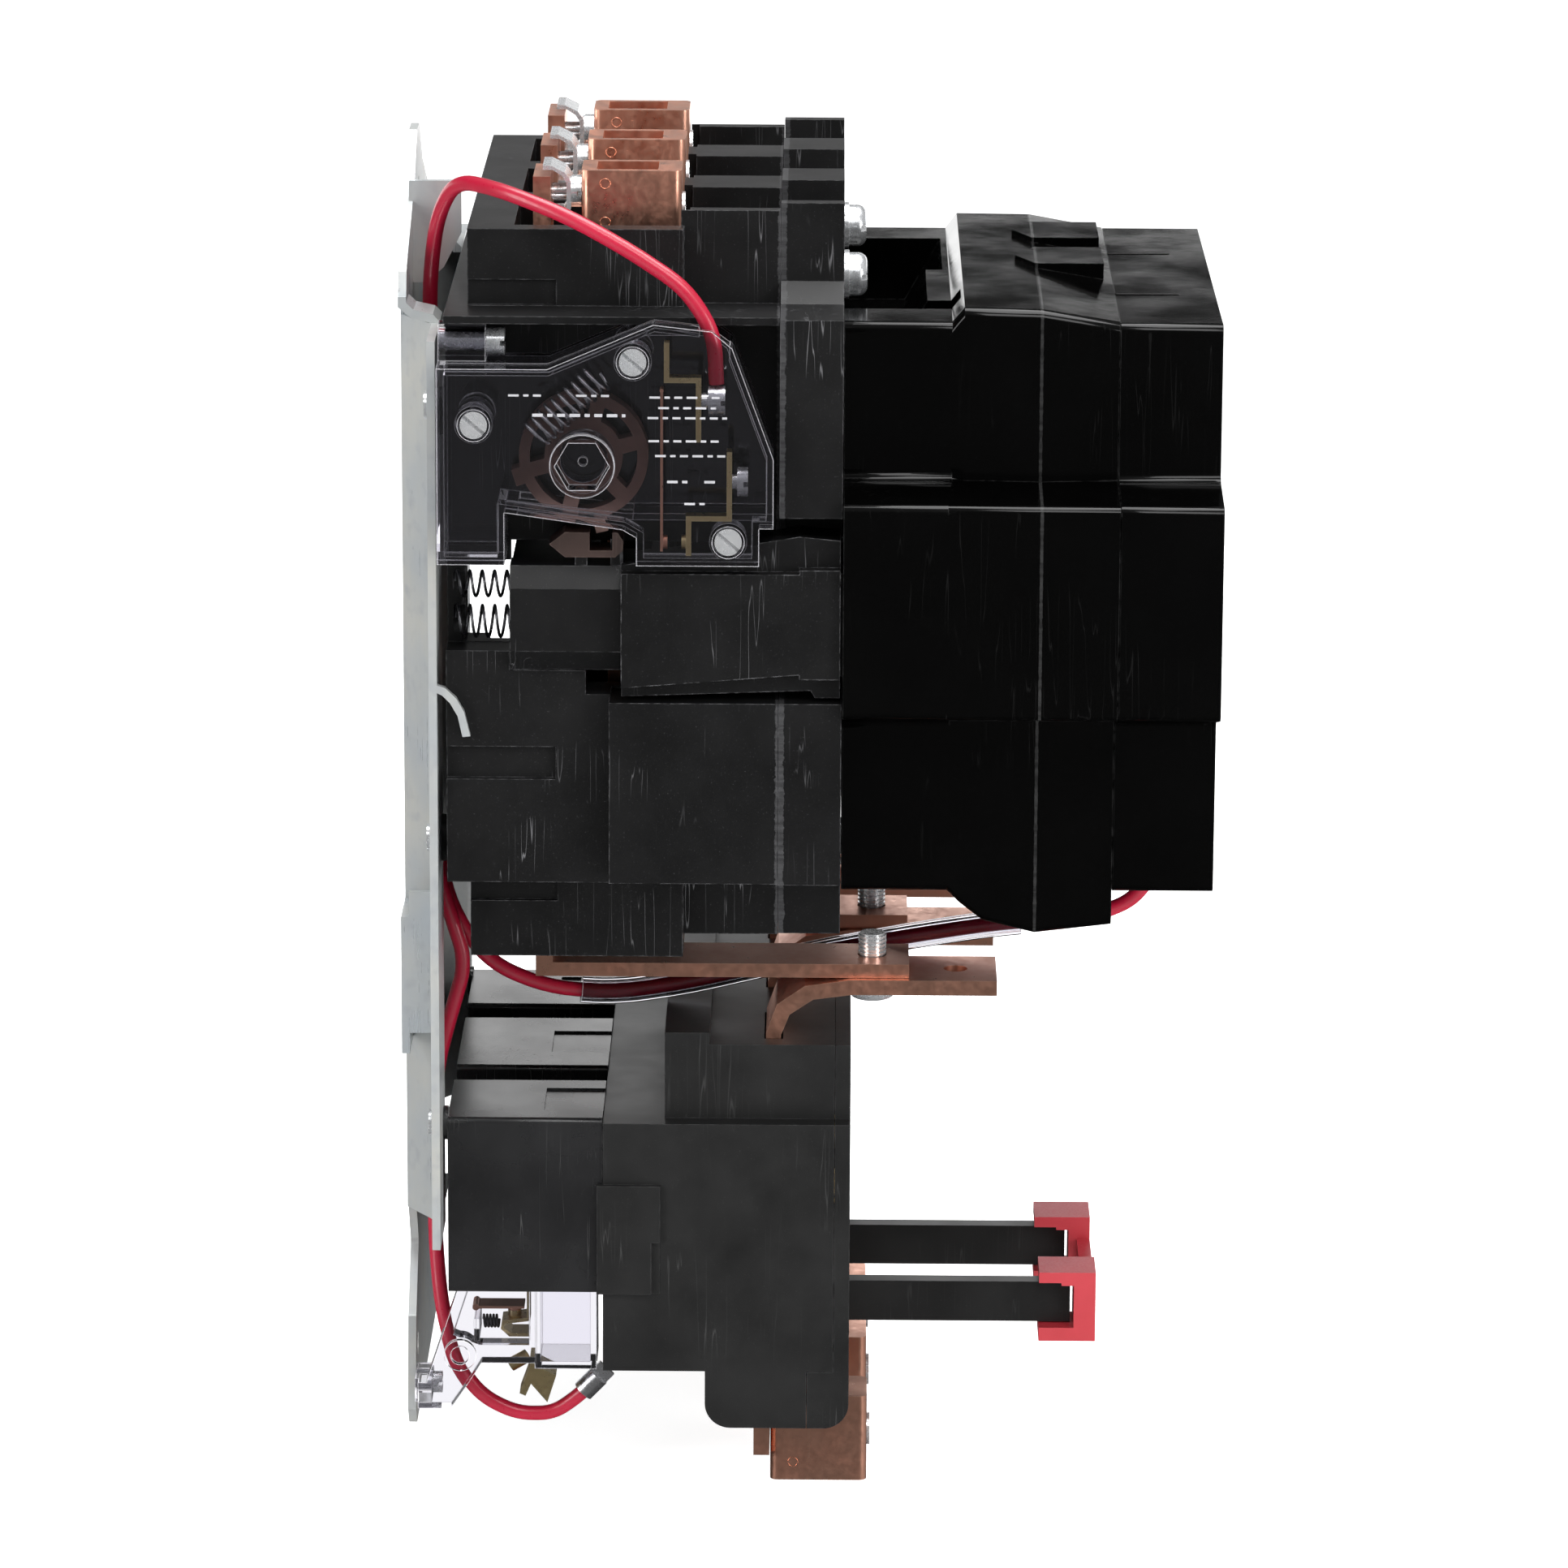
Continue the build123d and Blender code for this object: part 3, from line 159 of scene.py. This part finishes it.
class Shader(Nodes):
    """One material: a Principled shader and the textures that feed it."""

    def __init__(self, name, **values):
        self.material = bpy.data.materials.new(name)
        self.material.use_nodes = True
        super().__init__(self.material.node_tree)
        output = self.node("ShaderNodeOutputMaterial")
        self.bsdf = self.node("ShaderNodeBsdfPrincipled")
        self.tree.links.new(self.bsdf.outputs["BSDF"], output.inputs["Surface"])
        self.place = self.node("ShaderNodeTexCoord").outputs["Object"]
        self.bumps = None
        self.set(**values)

    def set(self, **values):
        """Sets shader inputs by their names, with spaces written as underscores."""
        for name, value in values.items():
            self.feed(self.bsdf.inputs[name.replace("_", " ")], value)

    def stretched(self, scale, turn=(0, 0, 0)):
        mapping = self.node("ShaderNodeMapping")
        self.feed(mapping.inputs["Vector"], self.place)
        mapping.inputs["Scale"].default_value = scale
        mapping.inputs["Rotation"].default_value = turn
        return mapping.outputs["Vector"]

    def noise(self, scale, detail=4.0, rough=0.55, stretch=None, turn=(0, 0, 0)):
        texture = self.node("ShaderNodeTexNoise")
        place = self.stretched(stretch, turn) if stretch else self.place
        self.feed(texture.inputs["Vector"], place)
        texture.inputs["Scale"].default_value = scale
        texture.inputs["Detail"].default_value = detail
        texture.inputs["Roughness"].default_value = rough
        return texture.outputs["Fac"]

    def mix(self, share, a, b):
        node = self.node("ShaderNodeMix")
        node.data_type = "RGBA"
        self.feed(node.inputs["Factor"], share)
        colours = [socket for socket in node.inputs if socket.type == "RGBA"]
        self.feed(colours[0], a)
        self.feed(colours[1], b)
        return next(socket for socket in node.outputs if socket.type == "RGBA")

    def bump(self, height, strength, depth):
        """Adds a bump layer; layers stack."""
        node = self.node("ShaderNodeBump")
        node.inputs["Strength"].default_value = strength
        node.inputs["Distance"].default_value = depth
        self.feed(node.inputs["Height"], height)
        if self.bumps is not None:
            self.feed(node.inputs["Normal"], self.bumps)
        self.bumps = node.outputs["Normal"]
        self.feed(self.bsdf.inputs["Normal"], self.bumps)

    def edges(self, radius, low=0.02, high=0.25):
        """Near 1 along sharp edges, 0 on open faces."""
        bevel = self.node("ShaderNodeBevel")
        bevel.samples = 4
        bevel.inputs["Radius"].default_value = radius
        plain = self.node("ShaderNodeNewGeometry")
        dot = self.node("ShaderNodeVectorMath")
        dot.operation = "DOT_PRODUCT"
        self.feed(dot.inputs[0], bevel.outputs["Normal"])
        self.feed(dot.inputs[1], plain.outputs["Normal"])
        return self.span(self.maths("SUBTRACT", 1.0, dot.outputs["Value"]), low, high)

    def near(self, axis, place, half, ragged):
        """Near 1 within half of a plane across an axis, with a ragged border."""
        away = self.maths("ABSOLUTE", self.maths("SUBTRACT", self.split(self.place)[axis], place))
        shake = self.maths("MULTIPLY", self.noise(700.0, 5.0, 0.75, stretch=(1.0, 0.15, 1.0)), ragged)
        return self.span(self.maths("SUBTRACT", away, shake), half, half + 0.1 * MM, 1.0, 0.0)

    def scratches(self, scale, turn, width=0.006, sparse=0.56):
        """Fine straight scratches in one direction, in scattered patches."""
        lines = self.noise(scale, 2.0, 0.4, stretch=(1.0, 1.0, 0.04), turn=turn)
        near = self.maths("ABSOLUTE", self.maths("SUBTRACT", lines, 0.5))
        thin = self.span(near, 0.0, width, 1.0, 0.0)
        patches = self.span(self.noise(scale * 0.12, 2.0), sparse, sparse + 0.08)
        return self.maths("MULTIPLY", thin, patches)


def metal(name, colour, tarnish, roughness, grain=900.0, stretch=(1.0, 1.0, 1.0), bump=0.15, metallic=1.0):
    """A metal with uneven colour, mottled gloss, fine grain and a painted highlight along its edges."""
    s = Shader(name, Metallic=metallic)
    cloud = s.noise(70.0, 5.0, 0.6)
    fine = s.noise(grain, 4.0, 0.6, stretch=stretch)
    edge = s.edges(0.5 * MM)
    base = s.mix(s.span(cloud, 0.35, 0.7), colour, tarnish)
    # Painted highlight: a lighter colour mixed in evenly along every edge
    painted_edge_highlight = tuple(min(1.0, channel * 1.25 + 0.04) for channel in colour)
    s.set(Base_Color=s.mix(s.maths("MULTIPLY", edge, 0.7), base, painted_edge_highlight))
    spots = s.span(fine, 0.3, 0.7, -0.07, 0.09)
    s.set(Roughness=s.maths("ADD", s.span(cloud, 0.3, 0.7, roughness - 0.05, roughness + 0.08), spots))
    s.bump(fine, bump, 0.05 * MM)
    s.bump(cloud, 0.25, 0.25 * MM)
    return s.material


def zinc():
    """Zinc plate: pale metal with a faint blue and straw cast and drawn lines along its length."""
    s = Shader("zinc_plate", Metallic=0.6)
    cloud = s.noise(38.0, 4.0, 0.6)
    drawn = s.noise(1400.0, 3.0, 0.6, stretch=(1.0, 1.0, 0.03))
    spangle = s.noise(260.0, 2.0, 0.4)
    tint = s.mix(s.span(cloud, 0.3, 0.7), (0.56, 0.60, 0.63), (0.65, 0.65, 0.61))
    s.set(Base_Color=s.mix(s.span(spangle, 0.55, 0.8, 0.0, 0.5), tint, (0.46, 0.48, 0.51)))
    s.set(Roughness=s.maths("ADD", s.span(cloud, 0.3, 0.7, 0.28, 0.4), s.span(drawn, 0.3, 0.7, -0.05, 0.08)))
    s.bump(drawn, 0.2, 0.04 * MM)
    s.bump(cloud, 0.2, 0.3 * MM)
    return s.material


def phenolic(name, dark, grey, roughness, speck=0.5, wear=0.6, scratch=0.5, wave=0.1, seam=None,
             specular=0.5):
    """Moulded phenolic: fine light specks, scuffed pale edges, hairline scratches and a filed seam."""
    s = Shader(name, Specular_IOR_Level=specular)
    flow = s.noise(45.0, 4.0, 0.6)
    speckle = s.span(s.noise(2600.0, 2.0, 0.5), 0.66, 0.8, 0.0, speck)
    base = s.mix(s.span(flow, 0.3, 0.75), dark, tuple(1.9 * channel for channel in dark))
    base = s.mix(speckle, base, tuple(0.35 * channel for channel in grey))
    rub = s.maths("MULTIPLY", s.edges(0.45 * MM), s.span(s.noise(420.0, 5.0, 0.7), 0.42, 0.62, 0.0, wear))
    lines = s.maths("MAXIMUM", s.scratches(330.0, (0.5, 0.0, 0.0)), s.scratches(270.0, (-0.9, 0.3, 0.0)))
    marks = s.maths("MAXIMUM", rub, s.maths("MULTIPLY", lines, scratch), clamp=True)
    if seam:
        place, half, ragged, share = seam
        streaks = s.span(s.noise(900.0, 4.0, 0.7, stretch=(1.0, 0.1, 1.0)), 0.35, 0.6, 0.35, 1.0)
        filed = s.maths("MULTIPLY", s.maths("MULTIPLY", s.near("Y", place, half, ragged), streaks), share)
        marks = s.maths("MAXIMUM", marks, filed, clamp=True)
    s.set(Base_Color=s.mix(marks, base, grey))
    gloss = s.maths("ADD", s.span(flow, 0.3, 0.7, roughness - 0.04, roughness + 0.06),
                    s.maths("MULTIPLY", marks, 0.25))
    s.set(Roughness=gloss)
    s.bump(s.noise(1500.0, 3.0, 0.5), 0.12, 0.03 * MM)
    s.bump(flow, wave, 0.3 * MM)
    return s.material


def clear():
    """Clear moulded plastic with a faint tint, slightly wavy faces and a painted highlight on the edges,
    which turn milky white.
    """
    s = Shader("clear_plastic", IOR=1.4, Base_Color=(0.955, 0.945, 1.0))
    painted_rim_highlight = s.edges(0.4 * MM)
    # Painted highlight: edges lose transmission and roughen, so the near-white base colour shows as bright
    # rims
    s.set(Transmission_Weight=s.span(painted_rim_highlight, 0.0, 1.0, 1.0, 0.35))
    s.set(Roughness=s.span(painted_rim_highlight, 0.0, 1.0, 0.0, 0.4))
    s.bump(s.noise(90.0, 2.0, 0.5), 0.12, 0.03 * MM)
    return s.material


def rubbery(name, colour, deep, roughness, ripple, coat=0.0):
    """Coloured plastic or wire skin, with slow colour change and a fine surface."""
    s = Shader(name, Coat_Weight=coat, Coat_Roughness=0.15)
    cloud = s.noise(60.0, 4.0, 0.6)
    fine = s.noise(1800.0, 3.0, 0.5)
    rub = s.maths("MULTIPLY", s.edges(0.35 * MM), s.span(s.noise(500.0, 4.0), 0.4, 0.65, 0.0, 0.5))
    pale = tuple(min(1.0, channel * 1.3 + 0.05) for channel in colour)
    s.set(Base_Color=s.mix(rub, s.mix(s.span(cloud, 0.3, 0.7), colour, deep), pale))
    s.set(Roughness=s.span(fine, 0.3, 0.7, roughness - 0.05, roughness + 0.08))
    s.bump(fine, ripple, 0.03 * MM)
    return s.material


def laminated():
    """Stacked steel laminations: fine lines across the stack."""
    s = Shader("silicon_steel", Metallic=1.0)
    lines = s.noise(2200.0, 1.0, 0.4, stretch=(1.0, 0.02, 0.02))
    s.set(Base_Color=s.mix(s.span(lines, 0.4, 0.6), (0.2, 0.2, 0.21), (0.45, 0.45, 0.47)), Roughness=0.4)
    s.bump(lines, 0.6, 0.1 * MM)
    return s.material


def wound():
    """Coil of enamelled wire under varnish: close turns round the post."""
    s = Shader("coil_tape", Coat_Weight=0.3)
    turns = s.noise(1500.0, 1.0, 0.3, stretch=(0.03, 1.0, 0.03))
    s.set(Base_Color=s.mix(s.span(turns, 0.4, 0.6), (0.22, 0.04, 0.02), (0.5, 0.13, 0.06)), Roughness=0.35)
    s.bump(turns, 0.8, 0.15 * MM)
    return s.material


MATERIALS = {
    "zinc_plate": zinc(),
    "zinc_screws": metal("zinc_screws", (0.80, 0.81, 0.82), (0.66, 0.68, 0.71), 0.22, metallic=0.75),
    "spring_steel": metal("spring_steel", (0.16, 0.16, 0.17), (0.09, 0.09, 0.1), 0.3),
    "bright_spring": metal("bright_spring", (0.8, 0.8, 0.81), (0.65, 0.65, 0.67), 0.18),
    "black_phenolic": phenolic("black_phenolic", (0.0035, 0.0035, 0.0037), (0.2, 0.2, 0.21), 0.4, wear=0.8,
                               specular=0.3),
    "black_phenolic_seam": phenolic("black_phenolic_seam", (0.0035, 0.0035, 0.0037), (0.2, 0.2, 0.21), 0.4,
                                    specular=0.3, seam=COVER_SEAM),
    "black_gloss": phenolic("black_gloss", (0.0004, 0.0004, 0.0004), (0.10, 0.10, 0.10), 0.1,
                            speck=0.1, wear=0.3, scratch=0.05, wave=0.2, specular=0.18, seam=HOUSING_SEAM),
    "relay_black": phenolic("relay_black", (0.008, 0.008, 0.008), (0.12, 0.12, 0.12), 0.42,
                            wear=0.3, scratch=0.2, specular=0.35),
    "relay_block_black": phenolic("relay_block_black", (0.008, 0.008, 0.0085), (0.14, 0.14, 0.14), 0.25,
                                  wear=0.4, scratch=0.3),
    "silicon_steel": laminated(),
    "coil_tape": wound(),
    "bobbin_nylon": rubbery("bobbin_nylon", (0.75, 0.72, 0.62), (0.68, 0.64, 0.54), 0.4, 0.1),
    "copper": metal("copper", (0.86, 0.46, 0.33), (0.76, 0.37, 0.26), 0.34, grain=500.0, bump=0.2),
    "brass": metal("brass", (0.84, 0.68, 0.38), (0.72, 0.55, 0.28), 0.3),
    "clear_plastic": clear(),
    "brown_phenolic": phenolic("brown_phenolic", (0.026, 0.014, 0.011), (0.18, 0.12, 0.10), 0.42,
                               scratch=0.2),
    "rotor_brown": phenolic("rotor_brown", (0.095, 0.052, 0.042), (0.24, 0.16, 0.14), 0.42, scratch=0.2),
    "red_cap": rubbery("red_cap", (0.50, 0.035, 0.05), (0.42, 0.025, 0.035), 0.42, 0.2),
    "red_wire": rubbery("red_wire", (0.40, 0.008, 0.035), (0.33, 0.006, 0.025), 0.32, 0.15, coat=0.2),
    "tinned": metal("tinned", (0.80, 0.80, 0.82), (0.68, 0.68, 0.71), 0.25),
    "print_ink": rubbery("print_ink", (0.42, 0.42, 0.44), (0.30, 0.30, 0.32), 0.5, 0.1),
}

# Nodes whose look is a variant of their slot's material
OWN_LOOK = {
    "contactor_base": "black_phenolic_seam",
    "contact_block_cover": "black_phenolic_seam",
    "aux_rotor": "rotor_brown",
}


def dress_nodes():
    """Gives every CAD node the material of its slot, or the look of its own."""
    for part in frame["record"]["subparts"]:
        name = part["node"]
        look = OWN_LOOK.get(name, part["material_slot"])
        node = NODES[name]
        node.data.materials.clear()
        node.data.materials.append(MATERIALS[look])


def soften(node, width, segments):
    """Rounds a node's sharp edges by a small width."""
    obj = NODES[node]
    weld = obj.modifiers.new("weld", "WELD")
    weld.merge_threshold = 1e-6
    flat = obj.modifiers.new("flat", "DECIMATE")
    flat.decimate_type = "DISSOLVE"
    flat.angle_limit = radians(0.5)
    bevel = obj.modifiers.new("bevel", "BEVEL")
    bevel.width = width
    bevel.segments = segments
    bevel.limit_method = "ANGLE"
    bevel.angle_limit = radians(24)
    bevel.use_clamp_overlap = True
    bevel.harden_normals = True


# Small things added to the CAD pieces

def add_box(shape, low, high):
    """Adds a box between two corners."""
    low, high = Vector(low), Vector(high)
    size = Matrix.Diagonal((*(high - low), 1.0))
    bmesh.ops.create_cube(shape, size=1.0, matrix=Matrix.Translation((low + high) / 2) @ size)


def add_ring(shape, place, radius, thick, sides=20, around=6):
    """Adds a thin ring whose axis is X."""
    loops = []
    for side in range(sides):
        angle = 2 * pi * side / sides
        outward = Vector((0, cos(angle), sin(angle)))
        loop = []
        for corner in range(around):
            turn = 2 * pi * corner / around
            along = Vector((thick * sin(turn), 0, 0))
            loop.append(shape.verts.new(place + outward * (radius + thick * cos(turn)) + along))
        loops.append(loop)
    for side in range(sides):
        here, ahead = loops[side], loops[(side + 1) % sides]
        for corner in range(around):
            other = (corner + 1) % around
            shape.faces.new((here[corner], ahead[corner], ahead[other], here[other]))


def finish_piece(name, shape, look):
    """Turns a mesh in millimetres into an object that rides on the frame and wears a look."""
    bmesh.ops.scale(shape, vec=(MM, MM, MM), verts=shape.verts)
    mesh = bpy.data.meshes.new(name)
    shape.to_mesh(mesh)
    shape.free()
    obj = bpy.data.objects.new(name, mesh)
    bpy.context.scene.collection.objects.link(obj)
    mesh.materials.append(MATERIALS[look])
    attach(obj, "starter_frame")


def printing():
    """Plain dashes where the module is printed, with gaps like those between words."""
    shape = bmesh.new()
    for first, last, low, high in PRINTED:
        start = first
        count = 0
        while start > last + SHORTEST_DASH:
            end = max(start - DASHES[count % len(DASHES)], last)
            add_box(shape, (PRINT_X[0], end, low), (PRINT_X[1], start, high))
            start = end - DASH_GAP
            count += 1
    finish_piece("module_printing", shape, "print_ink")


def lug_marks():
    """Struck rings and plain strokes on the sides of the line and load lugs."""
    shape = bmesh.new()
    for pole in POLES:
        face = pole - LUG_HALF
        for y, z in LUG_RINGS:
            add_ring(shape, Vector((face, y, z)), RING_RADIUS, MARK_DEPTH)
        for y, z_low, z_high in LUG_STROKES:
            add_box(shape, (face - MARK_DEPTH / 2, y - STROKE_WIDTH / 2, z_low),
                    (face + MARK_DEPTH / 2, y + STROKE_WIDTH / 2, z_high))
    finish_piece("lug_marks", shape, "copper")


# Studio

def soft_box(name, place, size, power):
    light = bpy.data.lights.new(name, "AREA")
    light.shape = "RECTANGLE"
    light.size, light.size_y = size
    light.energy = power
    obj = bpy.data.objects.new(name, light)
    bpy.context.scene.collection.objects.link(obj)
    obj.location = place
    obj.rotation_euler = (Vector(LIGHTS_AIM) - Vector(place)).to_track_quat("-Z", "Y").to_euler()
    obj.visible_camera = False
    obj.visible_transmission = False


def flat_card(name, corners, strength, base=0.0):
    """A plain glowing sheet from its four corners, which isn't part of the object."""
    mesh = bpy.data.meshes.new(name)
    mesh.from_pydata(corners, [], [(0, 1, 2, 3)])
    card = bpy.data.objects.new(name, mesh)
    bpy.context.scene.collection.objects.link(card)
    glow = Shader(name, Base_Color=(base, base, base), Roughness=0.9, Emission_Color=(1.0, 1.0, 1.0),
                  Emission_Strength=strength)
    mesh.materials.append(glow.material)
    return card


def studio():
    """Soft lights, a pale floor that reflections don't see, and a card that only they see."""
    for box in SOFT_BOXES:
        soft_box(*box)
    ground = cad_box[0][2]
    reach = FLOOR_REACH
    corners = ((-reach, -reach), (reach, -reach), (reach, reach), (-reach, reach))
    floor = flat_card("floor", [(x, y, ground) for x, y in corners], 0.85, 0.8)
    floor.visible_glossy = False
    floor.visible_transmission = False
    corners = ((-CARD_HALF, ground), (CARD_HALF, ground), (CARD_HALF, CARD_TOP), (-CARD_HALF, CARD_TOP))
    card = flat_card("white_card", [(CARD_X, y, z) for y, z in corners], 2.0)
    card.visible_camera = False
    room_light()
    bpy.context.scene.view_settings.view_transform = "Standard"


def room_light():
    """White where nothing is seen; else a dim room, lighter at the near side, in front and overhead."""
    world = bpy.data.worlds.new("studio")
    bpy.context.scene.world = world
    world.use_nodes = True
    sky = Nodes(world.node_tree)
    direction = sky.split(sky.node("ShaderNodeTexCoord").outputs["Generated"])
    near_side = sky.span(direction["X"], -0.2, -0.8, 0.05, 0.17)
    in_front = sky.span(direction["Y"], -0.5, -0.95, 0.0, 0.45)
    above = sky.span(direction["Z"], 0.45, 0.9, 0.0, 0.5)
    room = sky.node("ShaderNodeBackground")
    sky.feed(room.inputs["Strength"], sky.maths("ADD", sky.maths("ADD", near_side, in_front), above))
    white = sky.node("ShaderNodeBackground")
    sky.feed(white.inputs["Color"], (1.0, 1.0, 1.0))

    # Looking straight, or through clear plastic towards the far side, finds the white
    path = sky.node("ShaderNodeLightPath")
    far_side = sky.maths("GREATER_THAN", direction["X"], 0.2)
    through = sky.maths("MULTIPLY", path.outputs["Is Transmission Ray"], far_side)
    blend = sky.node("ShaderNodeMixShader")
    sky.feed(blend.inputs["Fac"], sky.maths("MAXIMUM", path.outputs["Is Camera Ray"], through))
    sky.feed(blend.inputs[1], room.outputs[0])
    sky.feed(blend.inputs[2], white.outputs[0])
    output = sky.node("ShaderNodeOutputWorld")
    sky.feed(output.inputs["Surface"], blend.outputs[0])


def camera():
    """Stands at the left of the object, looking across it and slightly down."""
    forward = Vector((cos(LOOK_DOWN) * cos(LOOK_ASIDE), cos(LOOK_DOWN) * sin(LOOK_ASIDE), -sin(LOOK_DOWN)))
    level = forward.cross(Vector((0, 0, 1))).normalized()
    upward = level.cross(forward)
    right = cos(ROLL) * level + sin(ROLL) * upward
    up = cos(ROLL) * upward - sin(ROLL) * level
    lens = bpy.data.cameras.new("camera")
    lens.lens = LENS_MM
    lens.sensor_width = SENSOR_MM
    lens.sensor_fit = "HORIZONTAL"
    lens.clip_start = 0.05
    lens.clip_end = 50.0
    obj = bpy.data.objects.new("camera", lens)
    bpy.context.scene.collection.objects.link(obj)
    turn = Matrix((right, up, -forward)).transposed()
    obj.matrix_world = Matrix.Translation(CAMERA_PLACE) @ turn.to_4x4()
    bpy.context.scene.camera = obj


camera()
studio()
dress_nodes()
printing()
lug_marks()
for name in GLOSSY_MOULDINGS:
    soften(name, GLOSSY_EDGE, 3)
for name in SATIN_MOULDINGS:
    soften(name, SATIN_EDGE, 2)
